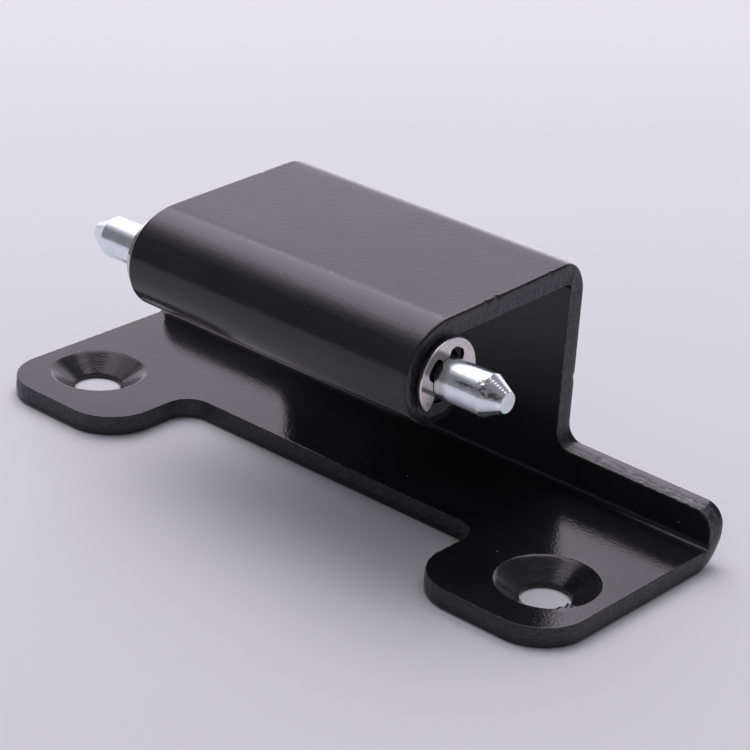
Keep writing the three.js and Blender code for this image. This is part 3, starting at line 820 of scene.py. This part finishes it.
def black_paint():
    g = Graph("black_enamel")
    mm = g.mm()
    edge, shear, csk = g.attr("edge"), g.attr("shear"), g.attr("csk")
    fx, fs, fn = g.attr("flat_x"), g.attr("flat_s"), g.attr("flat_n")
    dist = g.attr("hole_dist")

    # orange peel in two sizes, and a slow drift in the film
    peel = g.noise(mm, 2.3, 2.0, 0.62)
    drift = g.noise(mm, 0.10, 1.0, 0.5)
    smear = g.noise(g.mm((55.0, 260.0, 260.0)), 1.0, 2.0, 0.6)

    # specks of dust caught in the paint, and pin holes
    vor = g.add("ShaderNodeTexVoronoi", {"feature": "F1"}, Vector=mm, Scale=0.36, Randomness=1.0)
    size = g.math("MULTIPLY", g.math("POWER", g.add("ShaderNodeSeparateColor", Color=vor.outputs["Color"]).outputs[0], 4.5), 0.046)
    dust = g.math("MULTIPLY", g.math("LESS_THAN", vor.outputs["Distance"], size), 1.0)
    vor2 = g.add("ShaderNodeTexVoronoi", {"feature": "F1"}, Vector=mm, Scale=0.21, Randomness=1.0)
    size2 = g.math("MULTIPLY", g.math("POWER", g.add("ShaderNodeSeparateColor", Color=vor2.outputs["Color"]).outputs[1], 3.5), 0.036)
    pit = g.ramp(g.math("SUBTRACT", size2, vor2.outputs["Distance"]), -0.006, 0.008)

    # the sheared edge under the paint: streaks across the thickness in the broken part
    along = g.math("ADD", g.math("MULTIPLY", fx, 1.0), g.math("MULTIPLY", fs, 1.0))
    across = g.math("SUBTRACT", g.math("MULTIPLY", fx, 1.0), g.math("MULTIPLY", fs, 1.0))
    streak = g.noise(g.combine(g.math("MULTIPLY", along, 3.2), g.math("MULTIPLY", across, 3.2), g.math("MULTIPLY", fn, 0.9)), 1.0, 2.0, 0.6)
    grit = g.noise(g.combine(g.math("MULTIPLY", along, 2.0), g.math("MULTIPLY", across, 2.0), g.math("MULTIPLY", fn, 3.5)), 1.0, 2.0, 0.65)
    torn = g.math("ADD", g.math("MULTIPLY", streak, 0.42), g.math("MULTIPLY", grit, 0.62))

    # rings that the countersink left
    turn_mark = g.math("SINE", g.math("MULTIPLY", dist, 2 * math.pi / 0.30))
    cone_grain = g.noise(g.combine(g.math("MULTIPLY", dist, 6.0), g.math("MULTIPLY", fx, 0.4), g.math("MULTIPLY", fs, 0.4)), 1.0, 2.0, 0.6)

    # where paint is thin on a corner the metal shows as tiny bright nicks
    nick_n = g.noise(mm, 2.6, 2.0, 0.7)
    nick = g.math("MULTIPLY", g.ramp(nick_n, 0.66, 0.70), g.ramp(edge, 0.55, 0.95))
    thin = g.math("MULTIPLY", g.ramp(nick_n, 0.35, 0.75), edge)

    col = g.mix(g.ramp(drift, 0.3, 0.7), (0.0118, 0.0120, 0.0140), (0.0155, 0.0157, 0.0178))
    col = g.mix(g.math("MULTIPLY", smear, 0.35), col, (0.017, 0.0168, 0.0182))
    curl_shade = g.ramp(fs, float(STARTS[5]), float(STARTS[5]) + 6.0, 1.0, 0.30)     # painted shade: the sheared ends, thin paint and nicks are toned down along the curl, whose end faces lie in shade beside the rings
    shear_curl_shade = g.math("MULTIPLY", shear, curl_shade)
    col = g.mix(g.math("MULTIPLY", shear_curl_shade, g.ramp(torn, 0.40, 0.72)), col, (0.025, 0.027, 0.035))
    col = g.mix(g.math("MULTIPLY", shear_curl_shade, 0.25), col, (0.019, 0.021, 0.028))
    # the low wall's top edge is drawn out in light streaks along its length
    top_edge = g.math("MULTIPLY", g.ramp(fs, float(STARTS[2]) + 1.0, float(STARTS[2]) + 3.0), g.ramp(g.math("ABSOLUTE", fx), WEB + 1.0, WEB + 2.5))
    drawn = g.noise(g.combine(g.math("MULTIPLY", fx, 0.75), g.math("MULTIPLY", fs, 0.75), g.math("MULTIPLY", fn, 5.0)), 1.0, 2.0, 0.6)
    drawn_m = g.math("MULTIPLY", shear, g.math("ADD", g.math("MULTIPLY", top_edge, 0.70), 0.14))
    col = g.mix(g.math("MULTIPLY", drawn_m, g.ramp(drawn, 0.50, 0.60)), col, (0.19, 0.194, 0.21))
    col = g.mix(g.math("MULTIPLY", csk, g.ramp(cone_grain, 0.42, 0.72, 0.0, 0.35)), col, (0.034, 0.034, 0.036))
    # painted shade: thin paint and nicks on the curl are toned down with the same factor
    col = g.mix(g.math("MULTIPLY", g.math("MULTIPLY", thin, curl_shade), 0.26), col, (0.045, 0.045, 0.050))
    col = g.mix(g.math("MULTIPLY", nick, curl_shade), col, (0.24, 0.24, 0.25))
    col = g.mix(dust, col, (0.42, 0.42, 0.42))
    col = g.mix(pit, col, (0.002, 0.002, 0.002))

    rough = g.math("ADD", g.ramp(smear, 0.25, 0.75, 0.095, 0.150), g.ramp(drift, 0.3, 0.7, -0.01, 0.015))
    rough = g.mixf(shear, rough, g.ramp(torn, 0.3, 0.75, 0.30, 0.55))
    rough = g.mixf(csk, rough, g.ramp(cone_grain, 0.3, 0.7, 0.15, 0.26))
    rough = g.mixf(dust, rough, 0.6)
    # paint gathers in the inside of the lower bend and dries duller
    gather = g.math("MULTIPLY", g.math("MULTIPLY", g.ramp(fs, float(STARTS[1]) - 1.2, float(STARTS[1]) + 0.3), g.ramp(fs, float(STARTS[2]) - 0.3, float(STARTS[2]) + 1.2, 1.0, 0.0)), g.ramp(fn, 2.0, 2.9))
    rough = g.math("ADD", rough, g.math("MULTIPLY", gather, 0.16))

    nrm = g.bump(peel, 2.3e-5)
    nrm = g.bump(g.math("MULTIPLY", shear, torn), 4.6e-5, nrm)
    nrm = g.bump(g.math("MULTIPLY", csk, g.math("ADD", g.math("MULTIPLY", turn_mark, 0.12), g.math("MULTIPLY", cone_grain, 0.5))), 0.35e-5, nrm)
    bsdf = g.add("ShaderNodeBsdfPrincipled", Base_Color=col, Roughness=rough, IOR=1.42, Normal=nrm)
    g.set(bsdf, "Metallic", g.math("MULTIPLY", nick, 0.8))
    return g.out(bsdf)


def zinc():
    g = Graph("zinc_plated_steel")
    mm = g.mm()
    cone, tip, bruise = g.attr("cone"), g.attr("tip"), g.attr("bruise")
    turnv = g.attr("pin_turn")
    # drawn and turned marks run round the pin, so they change quickly along X only
    lathe = g.noise(g.mm((9000.0, 260.0, 260.0)), 1.0, 2.0, 0.6)
    cloud = g.noise(mm, 0.55, 4.0, 0.6)
    spot = g.noise(mm, 3.8, 3.0, 0.65)
    col = g.mix(g.ramp(cloud, 0.35, 0.7), (0.68, 0.735, 0.765), (0.82, 0.865, 0.885))
    col = g.mix(g.ramp(spot, 0.62, 0.74, 0.0, 0.28), col, (0.56, 0.57, 0.58))
    # painted reflection: a dark line along the upper front, where the pin mirrors the dim room in front, broken up by
    # noise
    sep = g.add("ShaderNodeSeparateXYZ", Vector=mm)
    wob = g.math("MULTIPLY", g.math("SUBTRACT", g.noise(mm, 0.9, 3.0), 0.5), 16.0)
    off = g.math("ABSOLUTE", g.math("ADD", g.math("SUBTRACT", turnv, 149.0), wob))
    off = g.math("DIVIDE", off, g.math("ADD", 1.0, g.math("MULTIPLY", cone, 1.5)))
    painted_dark_band = g.math("MULTIPLY", g.ramp(off, 3.0, 8.5, 1.0, 0.0), g.ramp(g.noise(mm, 2.2, 4.0, 0.65), 0.38, 0.53))
    painted_dark_band = g.math("MULTIPLY", painted_dark_band, g.ramp(sep.outputs[0], gr + 2.4, gr + 4.6))
    painted_dark_band = g.math("MULTIPLY", painted_dark_band, g.math("SUBTRACT", 1.0, tip))
    scuff = g.math("MULTIPLY", g.math("MULTIPLY", bruise, 1.2), g.ramp(g.noise(mm, 3.0, 3.0, 0.6), 0.40, 0.62), clamp=True)
    # the bruise's scuff is real; the dark line joined with it here is painted reflection
    scuff_and_painted_band = g.math("MAXIMUM", g.math("MULTIPLY", painted_dark_band, 0.95), scuff)
    col = g.mix(scuff_and_painted_band, col, (0.13, 0.118, 0.11))
    # painted shade: the length inside the knuckle, seen through the rings' hollows, is coloured near black and dull
    knuckle_shade = g.ramp(g.math("ABSOLUTE", sep.outputs[0]), r_lo.x + 0.02, r_lo.x + 0.18, 1.0, 0.0)
    knuckle_shade = g.math("MAXIMUM", knuckle_shade, g.math("MULTIPLY", g.math("LESS_THAN", sep.outputs[0], 0.0), g.ramp(g.math("ABSOLUTE", sep.outputs[0]), -l_hi.x - 0.10, -l_hi.x + 0.10, 1.0, 0.0)))
    col = g.mix(knuckle_shade, col, (0.030, 0.029, 0.027))
    rough = g.ramp(lathe, 0.3, 0.7, 0.17, 0.27)
    rough = g.mixf(cone, rough, 0.24)
    rough = g.mixf(tip, rough, 0.42)
    rough = g.mixf(scuff_and_painted_band, rough, 0.46)
    rough = g.mixf(knuckle_shade, rough, 0.5)
    nrm = g.bump(lathe, 1.1e-6)
    nrm = g.bump(g.math("MULTIPLY", scuff_and_painted_band, g.noise(mm, 5.0, 3.0)), 3.0e-5, nrm)
    nrm = g.bump(g.math("MULTIPLY", tip, g.noise(mm, 2.4, 4.0)), 2.2e-5, nrm)
    bsdf = g.add("ShaderNodeBsdfPrincipled", Base_Color=col, Roughness=rough, Metallic=1.0, Normal=nrm)
    return g.out(bsdf)


def ring_steel():
    g = Graph("spring_steel")
    mm = g.mm()
    edge = g.attr("edge")
    grain = g.noise(g.mm((900.0, 1300.0, 5200.0)), 1.0, 4.0, 0.6)
    cloud = g.noise(mm, 0.8, 4.0, 0.55)
    fleck = g.noise(mm, 4.6, 3.0, 0.6)
    col = g.mix(g.ramp(cloud, 0.35, 0.7), (0.53, 0.49, 0.485), (0.64, 0.60, 0.595))
    col = g.mix(g.ramp(fleck, 0.60, 0.74, 0.0, 0.25), col, (0.40, 0.37, 0.36))
    col = g.mix(g.math("MULTIPLY", edge, 0.35), col, (0.72, 0.68, 0.66))
    rough = g.math("ADD", g.ramp(grain, 0.3, 0.7, 0.11, 0.17), g.ramp(fleck, 0.5, 0.75, 0.0, 0.10))
    nrm = g.bump(grain, 0.25e-6)
    nrm = g.bump(fleck, 0.7e-6, nrm)
    bsdf = g.add("ShaderNodeBsdfPrincipled", Base_Color=col, Roughness=rough, Metallic=1.0, Normal=nrm)
    return g.out(bsdf)


def bush_plastic():
    g = Graph("moulded_acetal")
    mm = g.mm()
    cloud = g.noise(mm, 0.7, 3.0, 0.5)
    fine = g.noise(mm, 9.0, 2.0, 0.5)
    col = g.mix(cloud, (0.010, 0.010, 0.011), (0.018, 0.018, 0.020))
    rough = g.ramp(cloud, 0.3, 0.7, 0.42, 0.55)
    nrm = g.bump(fine, 4.0e-6)
    bsdf = g.add("ShaderNodeBsdfPrincipled", Base_Color=col, Roughness=rough, Normal=nrm)
    return g.out(bsdf)


def floor_material():
    g = Graph("studio_sheet")
    cloud = g.noise(g.mm(), 0.012, 2.0, 0.5)
    col = g.mix(cloud, (0.835, 0.848, 0.862), (0.850, 0.863, 0.877))
    return g.out(g.add("ShaderNodeBsdfDiffuse", Color=col, Roughness=0.3))


for o, mat, slot, body, node in (
    (bracket, black_paint(), "black_paint", "bracket", "bracket"),
    (pin, zinc(), "zinc_plate", "pin", "hinge_pin"),
    (ring_right, ring_steel(), "ring_steel", "pin", "e_clip_right"),
    (ring_left, None, "ring_steel", "pin", "e_clip_left"),
    (bush, bush_plastic(), "bush_plastic", "bracket", "knuckle_bush"),
):
    o.data.materials.append(mat or ring_right.data.materials[0])
    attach(o, body)
    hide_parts(node)

# ------------------------------------------------------------------ floor
prof = [(r, 0) for r in (0, 0.15, 0.4, 0.8, 1.2, 1.6, 1.9)]
fv, ff, FS = [(0.0, 0.0, 0.0)], [], 96
for r, z in prof[1:]:
    for i in range(FS):
        a = 2 * math.pi * i / FS
        fv.append((r * math.cos(a), r * math.sin(a), z))
for i in range(FS):
    ff.append((0, 1 + i, 1 + (i + 1) % FS))
for k in range(len(prof) - 2):
    for i in range(FS):
        j = (i + 1) % FS
        a, b = 1 + k * FS, 1 + (k + 1) * FS
        ff.append((a + i, b + i, b + j, a + j))
fm = bpy.data.meshes.new("studio_floor")
fm.from_pydata(fv, [], ff)
fm.polygons.foreach_set("use_smooth", np.ones(len(ff), bool))
floor = bpy.data.objects.new("studio_floor", fm)
floor.location.z = cad_bounds[0].z - 0.00004
bpy.context.scene.collection.objects.link(floor)
fm.materials.append(floor_material())


# ------------------------------------------------------------------ light
def soft_box(name, centre, target, width, height, radiance, colour):
    """A rectangular soft light that glows with the given radiance. The camera doesn't see it."""
    d = bpy.data.lights.new(name, "AREA")
    d.shape, d.size, d.size_y = "RECTANGLE", width, height
    d.energy = radiance * math.pi * width * height
    d.color = colour
    o = bpy.data.objects.new(name, d)
    to = Vector(target) - Vector(centre)
    o.matrix_world = Matrix.Translation(Vector(centre)) @ to.to_track_quat("-Z", "Y").to_matrix().to_4x4()
    bpy.context.scene.collection.objects.link(o)
    o.visible_camera = False
    return o


# One large box overhead and behind on the left. Its front edge fades out in strips, so that rounded paint
# shows a soft gradient; below it hangs a dimmer wall that the flat top mirrors.
TINT = (1.01, 0.955, 1.08)
KEY_AT = Vector((-0.36, 0.30, 0.88))
key_n = KEY_AT.normalized()
key_u = Vector((-key_n.y, key_n.x, 0.0)).normalized()
if key_u.x > 0:
    key_u = -key_u
key_v = key_n.cross(key_u)
if key_v.z < 0:
    key_v = -key_v
KEY = [(-0.45, 0.34, -0.40, 0.45, 2.95), (0.34, 0.42, -0.40, 0.45, 2.42), (0.42, 0.50, -0.40, 0.45, 1.83), (0.50, 0.60, -0.40, 0.45, 1.24),
       (0.60, 0.76, -0.40, 0.45, 0.71), (0.76, 1.05, -0.40, 0.45, 0.27), (-0.30, 0.34, -0.54, -0.40, 2.12)]
for i, (u0, u1, v0, v1, radiance) in enumerate(KEY):
    c = KEY_AT + key_u * (u0 + u1) / 2 + key_v * (v0 + v1) / 2
    soft_box(f"soft_box_top_{i}", c, c - key_n, u1 - u0, v1 - v0, radiance, TINT)
soft_box("soft_wall_back", (-0.66, 0.75, 0.36), (0.0, 0.0, 0.03), 1.5, 0.70, 1.20, TINT)

world = bpy.data.worlds.new("studio")
bpy.context.scene.world = world
world.use_nodes = True
g = Graph("studio", world)
# dim all round, and paler low down at the back and the sides, where the studio's walls are
toward = g.add("ShaderNodeSeparateXYZ", Vector=g.add("ShaderNodeTexCoord").outputs["Generated"])
wall_side = g.ramp(toward.outputs[1], -0.55, -0.12)
wall_low = g.ramp(toward.outputs[2], 0.08, 0.42, 1.0, 0.0)
strength = g.math("ADD", 0.235, g.math("MULTIPLY", g.math("MULTIPLY", wall_side, wall_low), 0.40))
backdrop = g.add("ShaderNodeBackground", Color=(0.93, 0.90, 1.0), Strength=strength)
g.t.links.new(backdrop.outputs[0], g.add("ShaderNodeOutputWorld").inputs[0])

# ------------------------------------------------------------------ camera
centre = (cad_bounds[0] + cad_bounds[1]) / 2
az, el, roll = math.radians(40.145), math.radians(25.137), math.radians(3.705)
back = Vector((math.sin(az) * math.cos(el), -math.cos(az) * math.cos(el), math.sin(el)))
fwd = -back
right = fwd.cross(Vector((0, 0, 1))).normalized()
up = right.cross(fwd)
rx = right * math.cos(roll) + up * math.sin(roll)
ry = -right * math.sin(roll) + up * math.cos(roll)
cam_data = bpy.data.cameras.new("photo_angle")
cam_data.sensor_width = 36.0
cam_data.lens = 36.0 * 2605.111 / 750.0
cam_data.clip_start = 0.01
cam_data.clip_end = 50.0
cam = bpy.data.objects.new("photo_angle", cam_data)
place = Vector((0.21592704, -0.24967167, 0.17045988)) - Vector((0.0, 0.0, 0.018142)) + Vector((centre.x, centre.y, centre.z))
cam.matrix_world = Matrix((
    (rx.x, ry.x, back.x, place.x),
    (rx.y, ry.y, back.y, place.y),
    (rx.z, ry.z, back.z, place.z),
    (0, 0, 0, 1)))
bpy.context.scene.collection.objects.link(cam)
bpy.context.scene.camera = cam

cy = bpy.context.scene.cycles
cy.max_bounces, cy.diffuse_bounces, cy.glossy_bounces, cy.transmission_bounces = 6, 3, 4, 0
bpy.context.scene.view_settings.view_transform = "Standard"
bpy.context.scene.view_settings.look = "None"
